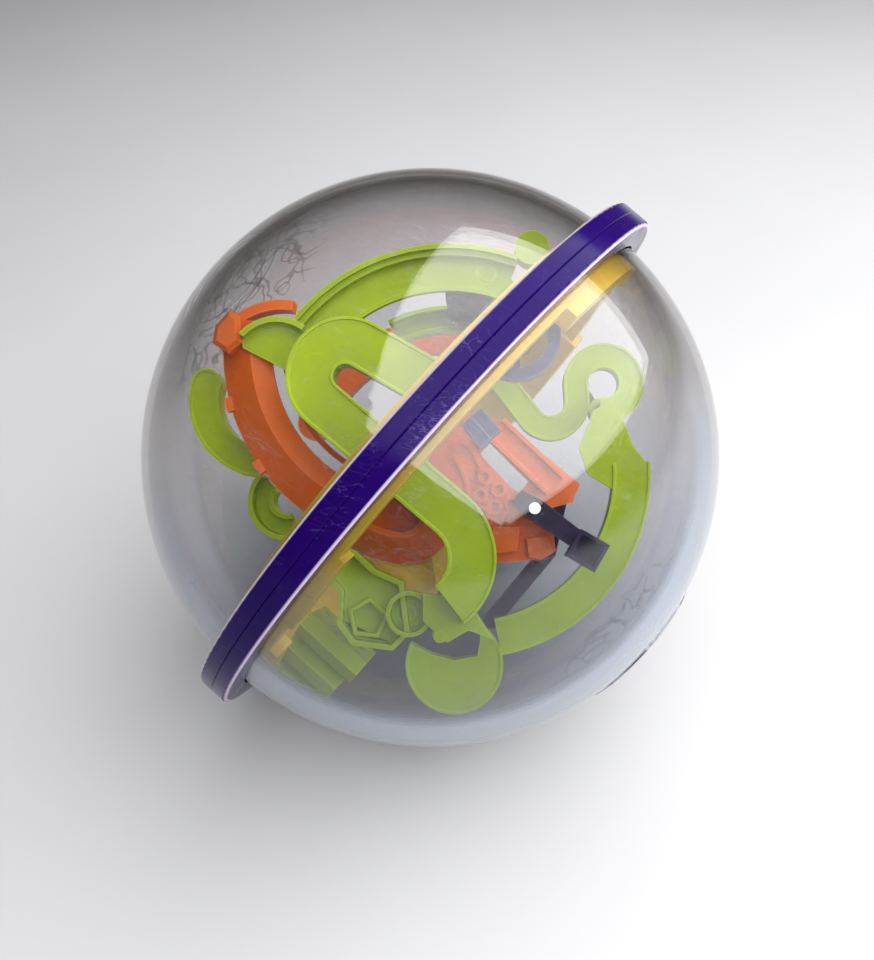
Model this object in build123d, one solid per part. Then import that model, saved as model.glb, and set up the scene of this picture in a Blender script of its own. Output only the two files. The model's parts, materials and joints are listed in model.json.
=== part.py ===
"""Clear ball with a three-dimensional marble maze inside, as separate pieces. Millimetres, +Z up.

The ball rests on a level surface on one dome and on the rim of its equator band. The origin is the
centre of the ball.

Maze frame: the flat tracks are drawn in X and Y, and Z is the depth, towards the front of the ball.
Ball frame: Z is the pole axis, through the middles of the two domes, and X is the front.
"""
import os
from math import acos, asin, atan, atan2, cos, degrees, hypot, radians, sin

from build123d import *

# ---------------------------------------------------------------- casing
DOME_R = 95.0            # outer radius of the clear domes
DOME_WALL = 2.2
DOME_FLANGE_W = 3.6      # how far the flanges stand out from the domes
BAND_WALL = 5.2          # the band outside the flanges
BAND_EDGE_ROUND = 1.2
BAND_SEAM = 0.3          # bevel where the band's halves meet
CLAMP_LIP_T = 1.8        # lip of each band half that holds a dome flange
DOME_FLANGE_T = 2.2
FRAME_FLANGE_T = 2.4     # flange of the maze frame, held between the dome flanges
FLANGE_GAP = 0.2         # radial clearance round the flanges
LIP_GAP = 0.4            # between the band's lips and the domes
FLANGE_R = DOME_R + DOME_FLANGE_W
BAND_R = FLANGE_R + FLANGE_GAP + BAND_WALL
BAND_HALF = CLAMP_LIP_T + DOME_FLANGE_T + FRAME_FLANGE_T / 2
RELIEF_T = 0.5           # raised ring pattern at each pole
RELIEF_RINGS = ((24.0, 22.6), (19.5, 18.6))
RELIEF_ARC = (15.5, 9.0)
RELIEF_ARC_COUNT = 3
RELIEF_ARC_ANGLE = 84.0

SCREW_COUNT = 8
SCREW_R = 1.0
SCREW_HOLE_GAP = 0.1
SCREW_HEAD_R = 1.7
SCREW_HEAD_T = 1.4
SCREW_SINK = 1.8         # depth of the counterbore
SCREW_HEAD_GAP = 0.15
SCREW_END_GAP = 0.9      # from the screw's tip to the far side of the band
SCREW_DRIVE = 0.8        # width of the cross slot

# ---------------------------------------------------------------- how the ball lies
LEAN = degrees(atan(BAND_HALF / BAND_R) + acos(DOME_R / hypot(BAND_R, BAND_HALF)))
FRONT_TURN = 39.3        # front of the maze, turned about the pole axis from straight up
POLE_ANGLE = -41.6       # pole axis in the maze frame, from its X

# ---------------------------------------------------------------- maze frame ring
RIM_GAP = 1.4            # between the maze frame's ring and the domes
RIM_R = DOME_R - DOME_WALL - RIM_GAP
RIM_T = 5.4
RIM_BACK = 8.0           # rim width behind the equator plane
RIM_FRONT = 6.8          # and in front of it
RIM_OVERLAP = 1.0        # its flange runs this far into the ring
LEDGES = ((-80.0, -36.0, 10.6), (23.0, 42.0, 8.6), (52.0, 80.0, 9.8), (120.0, 150.0, 9.0),
          (200.0, 236.0, 9.0))
LEDGE_T = 7.0
SPINE_W = 8.0            # the bar across the ring, along the equator line
SPINE_T = 8.0
SPINE_SET_BACK = 9.5     # from the equator plane to the middle of the bar
SPINE_SEAT = 7.0         # half angle of the ledges that hold its ends

# ---------------------------------------------------------------- tracks
WALL = 1.6
FLOOR = 1.8
LIP_W = 0.9              # fine raised edge round the smooth faces
LIP_H = 0.6
LEG_R = 2.4
TRACK_W = 13.6
NARROW_W = 9.6
TRACK_H = 7.5

WAVE_Z = 55.0
BRACKET_T = 5.0                    # angled plate under the end of the S-shaped track
PIN_DROP = 6.0                     # how far the hanging pin reaches below the plate
PIN_TIP_R = 1.8
PIN_AT = (5.8, -54.2)
WAVE_TOP = (-20.5, 19.3)
WAVE_TOP_R = 10.2
WAVE_LOW = (-1.0, -31.8)
WAVE_LOW_R = 16.2
WAVE_ARM_ANGLE = 60.0
WAVE_ARM = 31.0
WAVE_END_ANGLE = -52.0
WAVE_LEGS = (17.0, -9.0)           # along the spine, from its middle

ARC_CENTRE = (6.3, 4.5)
ARC_R = 58.0
ARC_Z = 9.0
ARC_W = 14.6
ARC_SPAN = (69.0, 141.0)
ARC_STEP_IN = 3.4                  # from the outer edge to the inner line of the wall
ARC_STEP_DOWN = 2.0                # from the wall's top to its inner step
ARC_INNER_WALL_H = 1.0
ARC_WALL_REACH = 3.0               # degrees that it runs past each end
ARC_ARM_TURN = 2.0                 # degrees from its start to the arm
ARC_ARM_W = 6.0
ARC_MARK = (3.4, 2.9, 0.4)         # shallow ring in its floor: radii and depth
ARC_MARK_TURN = 8.0                # degrees from its start to the ring
ARC_LEG = 57.0                     # along the spine
KNOB = (34.0, 68.0)
KNOB_R = 5.6
INNER_ARC_R = 49.0
INNER_ARC_Z = -32.0
INNER_ARC_SPAN = (74.0, 116.0)
CROSS_BAR_R = 50.6
CROSS_BAR_W = 4.0
CROSS_BAR_SPAN = (73.0, 91.0)

TROUGH_CENTRE = (0.0, 30.0)
TROUGH_RIDGE_R = 50.5
TROUGH_RIDGE_Z = 50.0
TROUGH_OUT = (9.5, 5.0)            # from the ridge to the outer edge: across and down
TROUGH_IN = (10.5, 4.0)            # from the ridge to the inner edge
TROUGH_SKIN = 1.8
TROUGH_SPAN = (171.0, 243.0)
TROUGH_LEG = -25.0
RAIL_CENTRE = (-42.0, 22.0)        # low curved rail beside the trough's head
RAIL_R = 21.0
RAIL_SPAN = (80.0, 128.0)
RAIL_W = 3.0
RAIL_Z = (-8.0, -1.5)              # below the ridge
TAB_ANGLES = (196.0, 216.0)        # small tabs on the trough's outer edge
TAB_W = 4.2
TAB_OUT = 1.1
TAB_RISE = 1.6
LINK_T = 2.5                       # green tab between the trough's head and the S-shaped track
LINK_SINK = 1.5                    # its underside, below the ridge
HEAD_T = (-5.0, 4.0)               # block at the trough's head, from the ridge
HEAD_BEVEL = 1.4
TONGUE_CENTRE = (-2.0, 5.5)
TONGUE_R = 24.5
TONGUE_W = 15.0
TONGUE_H = 9.0
TONGUE_RIM_H = 1.6 * WALL          # upright part of its rim
TONGUE_SPREAD = 42.0               # angle of the skirt from upright
TONGUE_SPAN = (226.0, 262.0)
SLOT_R = 43.2
SLOT_W = 3.0
SLOT_START = 14.0                  # degrees past the start of the trough

FINGER_CENTRE = (-50.5, 17.3)
FINGER_R = 20.2
FINGER_Z = 20.0
FINGER_SPAN = (165.0, 272.0)
FINGER_POST = (-47.5, -1.5)
CUP_CENTRE = (-44.0, -15.0)
CUP_R = 8.3
CUP_W = 8.4
CUP_SPAN = (136.0, 285.0)

STAIR_STEPS = ((4.4, 12.9, 20.0, 27.0), (12.9, 22.9, 30.0, 28.0), (22.9, 31.4, 38.0, 30.0))
STAIR_FOOT = 8.0                   # the steps: in from the ring's edge, height and reach
STAIR_CREASE = (6.0, 4.0)          # how far each step's top falls to its two sides
TRAY_DROP = 6.0                    # tray's underside, below the trough's ridge
TRAY_H = 6.0
POCKET = (-15.5, -50.0)
POCKET_R = 6.4
POCKET_H = 4.0
POCKET_WALL = 1.2
POCKET_SIDES = 5
POCKET_TURN = 12.0
FINISH_CUP = (-3.2, -48.2)
FINISH_R = 6.6
FINISH_WALL = 1.2
FINISH_RISE = 2.0                  # its rim, above the underside of the angled plate
FINISH_RINGS = (3.9, 2.3)
FINISH_RING_W = 0.7
FINISH_RING_H = 0.8
SHELF_DROP = 16.0                  # yellow shelf's underside, below the trough's ridge
SHELF_T = 3.0

SNAKE_Z = -32.0
SNAKE_LOW = (42.5, 22.3)
SNAKE_LOW_R = 9.5
SNAKE_HIGH = (61.6, 29.2)
SNAKE_HIGH_R = 10.0
SNAKE_W = 9.0
SNAKE_LEG = 40.6                   # along the spine
SNAKE_START_ANGLE = 225.0
SNAKE_END_ANGLE = -95.0

CURVE_CENTRE = (12.0, -5.0)
CURVE_R = 57.0
CURVE_Z = -14.0
CURVE_W = 12.8
CURVE_SPAN = (-79.0, 4.0)
BASIN_CENTRE = (7.9, -70.6)
BASIN_R = 16.8

REAR_ARC_R = 52.0
REAR_ARC_SPAN = (59.0, 160.0)
REAR_ARC_Z = -52.0
REAR_ARC_LEG = 51.0
REAR_LOOP = (-13.0, -15.0)
REAR_LOOP_R = 17.0
REAR_LOOP_SPAN = (-40.0, 220.0)
REAR_LOOP_Z = -56.0
REAR_LOOP_LEG = -6.0
REAR_CUP_R = 10.0
REAR_CUP_H = 9.0
REAR_CUP_Z = -38.0
REAR_CUP_LEG = -52.0
RAMP_START = -16.0
RAMP_STEP = 5.0
RAMP_STEPS = 4
RAMP_RISE = 4.0
RAMP_W = 13.0
RAMP_Z = -20.0

DECK_Z = 5.0
DECK_T = 3.0
DIMPLES = ((8.7, -4.4), (6.8, 1.6), (33.0, 1.0))
DIMPLE_R = 2.4
DIMPLE_DEPTH = 0.8
DECK_RAIL_CENTRE = (-7.0, -13.0)
DECK_RAIL_RADII = (20.0, 26.0)
DECK_RAIL_SPAN = (-6.0, 44.0)
DECK_RAIL_W = 1.2
DECK_RAIL_H = 1.2
STUDS = ((17.0, -12.6), (18.6, -6.6), (21.8, -16.6), (23.2, -10.8), (27.4, -15.8), (26.2, -20.2),
         (17.6, -18.8))
STUD_R = 2.5                       # round open bosses
STUD_HOLE_R = 1.5
STUD_H = 2.6
BRIDGE_W = 9.0
BRIDGE_H = 3.6
STOP_H = (4.0, 3.0)                # near block and far block
PRISM_AT = (17.6, 5.2)
PRISM_SIZE = (7.6, 8.6)
PRISM_TURN = 41.0
PRISM_Z = (50.0, 58.0)
PRISM_CREASE = 1.2                 # depth and width of the step across its top
STRUT_POST = (44.8, -12.0)
STRUT_W = 5.4
STRUT_H = 6.0
STRUT_SINK = 2.0                   # its underside, below the long arc's

# ---------------------------------------------------------------- moving pieces
RUN_GAP = 0.06                     # radial clearance of a piece that turns on its pin
END_GAP = 0.3                      # and along the pin
SPINNER_T = 42.1                   # along the equator line
SPINNER_Z = 50.0
SPINNER_H = 7.0
SPINNER_R = 12.6
SPINNER_RING_W = 3.7
SPINNER_HUB_R = 5.2
SPINNER_SPOKES = 3
SPOKE_W = 2.0
SPOKE_T = 1.6
SPOKE_TURN = 30.0
HUB_RISE = 1.0                     # the hub stands above the ring
DISC_R = 11.6                      # yellow disc behind the wheel
DISC_T = 2.5
DISC_BOSS_H = 3.0
AXLE_R = 1.6
AXLE_CAP_R = 2.6
AXLE_CAP_T = 1.4
LEVER_AT = (34.5, -17.2)
LEVER_HEADING = -36.0
LEVER_Z = 12.0
LEVER_H = 6.0
LEVER_PIN_R = 1.25
LEVER_SHOULDER_R = 2.6
LEVER_HEAD_R = 2.0
LEVER_HEAD_T = 1.0
LEVER_BOX = (10.5, 10.0)
LEVER_BOX_AT = (21.5, -1.0)
LEVER_BOX_RISE = 2.0
LEVER_BOX_WALL = 1.3
LEVER_BOX_TURN = 6.0
MARBLE_R = 4.76
MARBLE_TOP = (-61.3, 33.2)          # upper end of its run
MARBLE_Z = 37.8
MARBLE_HEADING = -60.0
MARBLE_TRAVEL = 16.0
MARBLE_GAP = 0.3
START_RAIL_W = 5.6
START_RAIL_SLOT = 1.6
START_RAIL_END = 8.2               # from the end of the marble's run to the post


# ---------------------------------------------------------------- helpers
def polar(centre, radius, angle):
    """A point at a distance and an angle from a centre."""
    return centre[0] + radius * cos(radians(angle)), centre[1] + radius * sin(radians(angle))


def arc(centre, radius, start, end):
    """The round line from one angle to another."""
    return CenterArc(centre, radius, start, end - start)


def crossing_angle(first, first_r, second, second_r):
    """Direction of the straight run from a left-hand bend into a right-hand bend."""
    reach = hypot(second[0] - first[0], second[1] - first[1])
    heading = degrees(atan2(second[1] - first[1], second[0] - first[0]))
    return heading + degrees(asin((first_r + second_r) / reach))


def ribbon(path, width, ends=""):
    """Flat strip along a line, with a round end at its start, its finish or both."""
    face = trace(path, line_width=width)
    for name, spot in (("start", path @ 0), ("finish", path @ 1)):
        if name in ends:
            face += Pos(spot.X, spot.Y) * Circle(width / 2)
    return face


def slab(face, low, high):
    """A flat shape, raised from one depth to another."""
    return Pos(0, 0, low) * extrude(face, high - low)


def channel(path, width, low, height, ends=""):
    """Track open to the front, with a floor and two walls; a round end has a wall round it."""
    outside = ribbon(path, width, ends)
    inside = ribbon(path, width - 2 * WALL, ends)
    return slab(outside, low, low + height) - slab(inside, low + FLOOR, low + height)


def covered(path, width, low, height, ends=""):
    """Track open to the back: the front is a smooth face with a fine raised edge."""
    face = low + height
    outside = ribbon(path, width, ends)
    inside = ribbon(path, width - 2 * WALL, ends)
    middle = ribbon(path, width - 2 * LIP_W, ends)
    body = slab(outside, low, face) - slab(inside, low, face - FLOOR)
    return body + slab(outside, face, face + LIP_H) - slab(middle, face, face + LIP_H)


def on_equator(along, beyond=0.0):
    """A place along the equator line, and beyond it towards the +Z dome of the ball frame."""
    return polar(polar((0, 0), along, POLE_ANGLE + 90), beyond, POLE_ANGLE)


def on_spine(along):
    """A place along the spine."""
    return on_equator(along, -SPINE_SET_BACK)


def leg(spot, low, high, radius=LEG_R):
    """Round post between two depths."""
    return Pos(spot[0], spot[1], (low + high) / 2) * Cylinder(radius, high - low)


def ring(outer, inner, low, high):
    """Ring about the Z axis."""
    return slab(Circle(outer) - Circle(inner), low, high)


def clear_of(piece, *others):
    """The piece, cut back to where it meets each of its neighbours."""
    for other in others:
        piece -= other
    return piece


def from_ball(piece):
    """Turn a piece from the ball frame into the maze frame."""
    return Rot(0, 0, POLE_ANGLE) * Rot(0, 90, 0) * Rot(0, 0, 180) * piece


def at_rest(piece):
    """Turn a piece from the maze frame to the way that the ball lies."""
    lean = radians(LEAN)
    pole = Vector(cos(lean), 0, -sin(lean))
    top = Vector(sin(lean), 0, cos(lean))
    front = top * cos(radians(FRONT_TURN)) + Vector(0, -1, 0) * sin(radians(FRONT_TURN))
    ball = Plane(origin=(0, 0, 0), x_dir=pole, z_dir=front)
    return ball.location * Rot(0, 0, -POLE_ANGLE) * piece


def along_pole(face, low, high):
    """A shape drawn across the ball (X along the equator line, Y the depth), raised along the pole."""
    across = Vector(*on_equator(1.0))
    pole = Vector(*polar((0, 0), 1.0, POLE_ANGLE))
    return Plane(origin=(0, 0, 0), x_dir=across, z_dir=pole).location * slab(face, low, high)


def outline(*points):
    """A flat shape with straight edges."""
    return make_face(Polyline(*points, close=True))


# ---------------------------------------------------------------- casing pieces
def screw_spots():
    """Where the band's screws stand, in the ball frame."""
    middle = (FLANGE_R + FLANGE_GAP + BAND_R - BAND_EDGE_ROUND) / 2
    return [polar((0, 0), middle, 360 * (n + 0.5) / SCREW_COUNT) for n in range(SCREW_COUNT)]


def rim_at(body, height):
    """The band's outermost round edge at this height."""
    return body.edges().filter_by(GeomType.CIRCLE).filter_by_position(Axis.Z, height, height).sort_by(
        lambda edge: edge.radius)[-1]


def band_half():
    """Half of the band, on the +Z side of the equator plane, without its screw holes."""
    inside = FLANGE_R + FLANGE_GAP
    lip_r = DOME_R + LIP_GAP
    lip_z = BAND_HALF - CLAMP_LIP_T
    body = ring(BAND_R, inside, 0, BAND_HALF) + ring(inside, lip_r, lip_z, BAND_HALF)
    body = fillet(rim_at(body, BAND_HALF), BAND_EDGE_ROUND)
    return chamfer(rim_at(body, 0), BAND_SEAM)


def band_half_a():
    """Plain half, with blind pilot holes."""
    half = band_half()
    for x, y in screw_spots():
        half -= leg((x, y), 0, BAND_HALF - SCREW_END_GAP, SCREW_R)
    return from_ball(half)


def band_half_b():
    """Half with clearance holes and counterbores."""
    half = band_half()
    for x, y in screw_spots():
        half -= leg((x, y), 0, BAND_HALF, SCREW_R + SCREW_HOLE_GAP)
        half -= leg((x, y), BAND_HALF - SCREW_SINK, BAND_HALF, SCREW_HEAD_R + SCREW_HEAD_GAP)
    return from_ball(Rot(180, 0, 0) * half)


def band_screws():
    """Cross-head screws, all alike, from the B side into the A side."""
    seat = -(BAND_HALF - SCREW_SINK)
    head_low = seat - SCREW_HEAD_T
    screws = []
    for x, y in screw_spots():
        screw = leg((x, -y), seat, BAND_HALF - SCREW_END_GAP, SCREW_R)
        screw += leg((x, -y), head_low, seat, SCREW_HEAD_R)
        slot = Box(2 * SCREW_R, SCREW_DRIVE / 2, SCREW_DRIVE)
        slot += Rot(0, 0, 90) * slot
        screws.append(from_ball(screw - Pos(x, -y, head_low) * slot))
    return Compound(children=screws)


def dome():
    """Dome on the +Z side, with its flange and a raised ring pattern at the pole."""
    base = FRAME_FLANGE_T / 2
    shell = Sphere(DOME_R) - Sphere(DOME_R - DOME_WALL)
    shell += ring(FLANGE_R, DOME_R - DOME_WALL, base, base + DOME_FLANGE_T)
    shell -= Sphere(DOME_R - DOME_WALL)
    shell &= slab(Circle(FLANGE_R), base, DOME_R)
    return shell + relief()


def relief():
    """Two thin rings and three arcs, raised from the dome at its pole."""
    pattern = Sketch()
    for outer, inner in RELIEF_RINGS:
        pattern += Circle(outer) - Circle(inner)
    for n in range(RELIEF_ARC_COUNT):
        middle = 360 * n / RELIEF_ARC_COUNT
        line = arc((0, 0), (RELIEF_ARC[0] + RELIEF_ARC[1]) / 2, middle - RELIEF_ARC_ANGLE / 2,
                   middle + RELIEF_ARC_ANGLE / 2)
        pattern += trace(line, line_width=RELIEF_ARC[0] - RELIEF_ARC[1])
    skin = Sphere(DOME_R + RELIEF_T) - Sphere(DOME_R - DOME_WALL / 2)
    return skin & slab(pattern, DOME_R / 2, DOME_R + RELIEF_T)


def equator_frame():
    """Yellow ring between the domes, with wider ledges and a bar across it."""
    flange = FRAME_FLANGE_T / 2
    body = ring(RIM_R, RIM_R - RIM_T, -RIM_BACK, RIM_FRONT) + ring(FLANGE_R, RIM_R - RIM_OVERLAP, -flange, flange)
    for start, end, width in LEDGES:
        line = arc((0, 0), RIM_R - LEDGE_T / 2, start, end)
        body += slab(trace(line, line_width=LEDGE_T), -RIM_BACK, width)
    seat = -SPINE_SET_BACK - SPINE_W / 2
    for middle in (90, -90):
        line = arc((0, 0), RIM_R - LEDGE_T / 2, middle - SPINE_SEAT, middle + SPINE_SEAT)
        body += slab(trace(line, line_width=LEDGE_T), seat, RIM_FRONT)
    body += Pos(0, 0, -SPINE_SET_BACK) * Box(SPINE_T, 2 * (RIM_R - RIM_T / 2), SPINE_W)
    return from_ball(body)


# ---------------------------------------------------------------- front of the maze
def wave_track():
    """S-shaped track nearest the front: an arm, a small loop, a straight run and a large loop."""
    run = crossing_angle(WAVE_TOP, WAVE_TOP_R, WAVE_LOW, WAVE_LOW_R)
    start = polar(WAVE_TOP, WAVE_TOP_R, WAVE_ARM_ANGLE)
    far = polar(start, WAVE_ARM, WAVE_ARM_ANGLE - 90)
    leave = polar(WAVE_TOP, WAVE_TOP_R, run + 270)
    join = polar(WAVE_LOW, WAVE_LOW_R, run + 90)
    path = Line(far, start) + arc(WAVE_TOP, WAVE_TOP_R, WAVE_ARM_ANGLE, run + 270)
    path += Line(leave, join) + arc(WAVE_LOW, WAVE_LOW_R, run + 90, WAVE_END_ANGLE)
    track = covered(path, TRACK_W, WAVE_Z, TRACK_H)
    for along in WAVE_LEGS:
        track += leg(on_spine(along), SPINE_T / 2, WAVE_Z + TRACK_H - FLOOR)
    return track


def wave_end_bracket():
    """Angled plate under the end of the S-shaped track."""
    plate = outline((1, -42), (14, -44), (21, -55), (14, -52.5), (8, -56), (1, -50))
    return slab(plate, WAVE_Z - BRACKET_T, WAVE_Z)


def hanging_pin():
    """Round pin on the angled plate."""
    low = WAVE_Z - BRACKET_T
    return leg(PIN_AT, low - PIN_DROP, low) + leg(PIN_AT, low, WAVE_Z + LIP_H, PIN_TIP_R)


def top_arc_track():
    """Broad arc along the top, with a stepped outer wall and a knob at one end."""
    start, end = ARC_SPAN
    track = channel(arc(ARC_CENTRE, ARC_R, start, end), ARC_W, ARC_Z, TRACK_H)
    shelf_r = ARC_R + ARC_W / 2 - ARC_STEP_IN / 2
    shelf = ribbon(arc(ARC_CENTRE, shelf_r, start, end), ARC_STEP_IN)
    track += slab(shelf, ARC_Z, ARC_Z + TRACK_H - ARC_STEP_DOWN)
    inner = arc(ARC_CENTRE, ARC_R - ARC_W / 2 + WALL / 2, start - ARC_WALL_REACH, end + ARC_WALL_REACH)
    track -= slab(trace(inner, line_width=WALL), ARC_Z + FLOOR + ARC_INNER_WALL_H, ARC_Z + TRACK_H)
    track += leg(KNOB, ARC_Z, ARC_Z + TRACK_H, KNOB_R)
    foot = on_spine(ARC_LEG)
    arm = ribbon(Line(polar(ARC_CENTRE, ARC_R - WALL, start + ARC_ARM_TURN), foot), ARC_ARM_W)
    track += slab(arm, ARC_Z, ARC_Z + FLOOR) + leg(foot, SPINE_T / 2, ARC_Z + FLOOR)
    outer, inner, depth = ARC_MARK
    mark = Pos(*polar(ARC_CENTRE, ARC_R, start + ARC_MARK_TURN)) * (Circle(outer) - Circle(inner))
    return track - slab(mark, ARC_Z + FLOOR - depth, ARC_Z + FLOOR)


def inner_arc_track():
    """Narrow arc deeper in the ball."""
    return channel(arc(ARC_CENTRE, INNER_ARC_R, *INNER_ARC_SPAN), NARROW_W, INNER_ARC_Z, TRACK_H)


def cross_bar():
    """Curved purple wall between the two arcs."""
    line = arc(ARC_CENTRE, CROSS_BAR_R, *CROSS_BAR_SPAN)
    return slab(trace(line, line_width=CROSS_BAR_W), INNER_ARC_Z + FLOOR, ARC_Z)


def ridge_shell(ridge_r, inner=TROUGH_IN, outer=TROUGH_OUT):
    """Section of the trough: two slopes that meet at a ridge, to be turned about Z."""
    top = [(ridge_r - inner[0], TROUGH_RIDGE_Z - inner[1]), (ridge_r, TROUGH_RIDGE_Z),
           (ridge_r + outer[0], TROUGH_RIDGE_Z - outer[1])]
    under = [(x, z - TROUGH_SKIN) for x, z in reversed(top)]
    return Plane.XZ * outline(*top, *under)


def trough():
    """Orange trough round the left of the maze: a ridged shell with a slot beside it."""
    start, end = TROUGH_SPAN
    shell = Rot(0, 0, start) * revolve(ridge_shell(TROUGH_RIDGE_R), Axis.Z, end - start)
    slot = arc((0, 0), SLOT_R, start + SLOT_START, end)
    shell -= slab(trace(slot, line_width=SLOT_W), 0, TROUGH_RIDGE_Z)
    for angle in TAB_ANGLES:
        shell += trough_tab(angle)
    shell = Pos(*TROUGH_CENTRE) * shell
    rail = trace(arc(RAIL_CENTRE, RAIL_R, *RAIL_SPAN), line_width=RAIL_W)
    shell += slab(rail, TROUGH_RIDGE_Z + RAIL_Z[0], TROUGH_RIDGE_Z + RAIL_Z[1])
    return shell + leg(on_spine(TROUGH_LEG), SPINE_T / 2, TROUGH_RIDGE_Z - TROUGH_SKIN)


def trough_tab(angle):
    """Small upright tab on the trough's outer edge, about its centre."""
    across, down = TROUGH_OUT
    near = TROUGH_RIDGE_R + across - TAB_OUT
    tab = Pos(near + TAB_OUT, 0) * Rectangle(2 * TAB_OUT, TAB_W)
    edge = TROUGH_RIDGE_Z - down
    return Rot(0, 0, angle) * slab(tab, edge - TROUGH_SKIN, edge + TAB_RISE)


def trough_cup():
    """Round-ended cup that the trough runs into, with a skirt that spreads downwards."""
    rim = ribbon(arc(TONGUE_CENTRE, TONGUE_R, *TONGUE_SPAN), TONGUE_W, "finish")
    inner = ribbon(arc(TONGUE_CENTRE, TONGUE_R, *TONGUE_SPAN), TONGUE_W - 2 * WALL, "finish")
    skirt = extrude(rim, -TONGUE_H, taper=-TONGUE_SPREAD)
    under = Pos(0, 0, -TONGUE_RIM_H) * extrude(rim, -TONGUE_H, taper=-TONGUE_SPREAD)
    low = -TONGUE_H + WALL
    cup = skirt - under + slab(rim, low, 0) - slab(inner, low + FLOOR, 0)
    return Pos(0, 0, TROUGH_RIDGE_Z) * cup


def trough_block():
    """Faceted block at the head of the trough."""
    block = outline((-56.2, 40.4), (-53.0, 38.6), (-52.6, 31), (-56.4, 27.6), (-61.2, 30.8), (-60.4, 36))
    body = slab(block, TROUGH_RIDGE_Z + HEAD_T[0], TROUGH_RIDGE_Z + HEAD_T[1])
    cap = body.faces().sort_by(Axis.Z)[-1]
    return chamfer(cap.edges(), HEAD_BEVEL)


def link_tab():
    """Green tab between the S-shaped track and the trough's head, with a raised edge."""
    low = TROUGH_RIDGE_Z - LINK_SINK
    sides = [Line((-52.6, 29.6), (-34, 20)), Line((-34, 20), (-33.5, 35.6)),
             ThreePointArc((-33.5, 35.6), (-44, 38.0), (-52.8, 33.2)), Line((-52.8, 33.2), (-52.6, 29.6))]
    plate = make_face(sides)
    edge = trace(ThreePointArc((-34, 34.8), (-44, 37.2), (-52.2, 32.8)), line_width=WALL)
    return slab(plate, low, low + LINK_T) + slab(edge, low, WAVE_Z)


def start_rail():
    """Pair of bars under the marble, with a post up to the trough."""
    high = MARBLE_Z - MARBLE_R - MARBLE_GAP
    low = high - WALL
    start = polar(MARBLE_TOP, START_RAIL_W / 2, MARBLE_HEADING + 180)
    finish = polar(MARBLE_TOP, MARBLE_TRAVEL + START_RAIL_END, MARBLE_HEADING)
    rail = slab(ribbon(Line(start, finish), START_RAIL_W, "start"), low, high)
    rail -= slab(ribbon(Line(MARBLE_TOP, finish), START_RAIL_SLOT), low, high)
    return rail + leg(finish, low, TROUGH_RIDGE_Z - TROUGH_OUT[1] / 2)


def finger_track():
    """Narrow covered track with a rounded end, left of the trough."""
    path = arc(FINGER_CENTRE, FINGER_R, *FINGER_SPAN)
    track = covered(path, NARROW_W, FINGER_Z, TRACK_H, "start")
    web = outline((-66, 2), (-50, -1), (-46, 1), (-45, -8), (-58, -7))
    track += slab(web, FINGER_Z + TRACK_H - FLOOR, FINGER_Z + TRACK_H)
    post_top = TROUGH_RIDGE_Z - TROUGH_IN[1] - TROUGH_SKIN / 2
    return track + leg(FINGER_POST, FINGER_Z + TRACK_H - FLOOR, post_top)


def finger_cup():
    """Half-round cup at the end of the narrow track."""
    path = arc(CUP_CENTRE, CUP_R, *CUP_SPAN)
    return channel(path, CUP_W, FINGER_Z, TRACK_H)


def stair_block():
    """Three stepped prisms that stand on the side of the ring."""
    left, right = STAIR_CREASE
    steps = []
    for near, far, high, reach in STAIR_STEPS:
        start, end = near - RIM_R, far - RIM_R
        top = [(end, high - right), ((start + end) / 2, high), (start, high - left)]
        steps.append(along_pole(outline((start, STAIR_FOOT), (end, STAIR_FOOT), *top), RIM_FRONT, reach))
    return steps[0] + steps[1] + steps[2]


def star_tray():
    """Tray with a raised edge and a many-sided pocket."""
    low = TROUGH_RIDGE_Z - TRAY_DROP
    edge = outline((-27, -27), (-19, -30), (-13, -35.5), (-5, -39), (-3, -54), (-8, -59),
                   (-20, -57.5), (-24.4, -51.5), (-24, -42), (-30, -36))
    tray = slab(edge, low, low + TRAY_H) - slab(offset(edge, -WALL), low + FLOOR, low + TRAY_H)
    pocket = Pos(*POCKET) * Rot(0, 0, POCKET_TURN) * RegularPolygon(POCKET_R, POCKET_SIDES)
    tray += slab(pocket, low, low + POCKET_H)
    return tray - slab(offset(pocket, -POCKET_WALL), low + FLOOR / 2, low + POCKET_H)


def finish_cup():
    """Round cup with stepped rings inside."""
    low = TROUGH_RIDGE_Z - TRAY_DROP + FLOOR / 2
    floor, high = low + WALL, WAVE_Z - BRACKET_T + FINISH_RISE
    cup = slab(Circle(FINISH_R), low, high) - slab(Circle(FINISH_R - FINISH_WALL), floor, high)
    for radius in FINISH_RINGS:
        cup += slab(Circle(radius) - Circle(radius - FINISH_RING_W), floor, floor + FINISH_RING_H)
    return Pos(*FINISH_CUP) * cup


def yellow_shelf():
    """Yellow shelf behind the large loop."""
    plate = outline((-17, -33), (-4, -27), (6, -26), (8, -38), (2, -46), (-6, -44), (-13, -40))
    fold = outline((2, -27), (7.5, -29), (7.5, -38), (4, -42))
    low = TROUGH_RIDGE_Z - SHELF_DROP
    return slab(plate, low, low + SHELF_T) + slab(fold, low + SHELF_T, low + 2 * SHELF_T)


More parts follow.
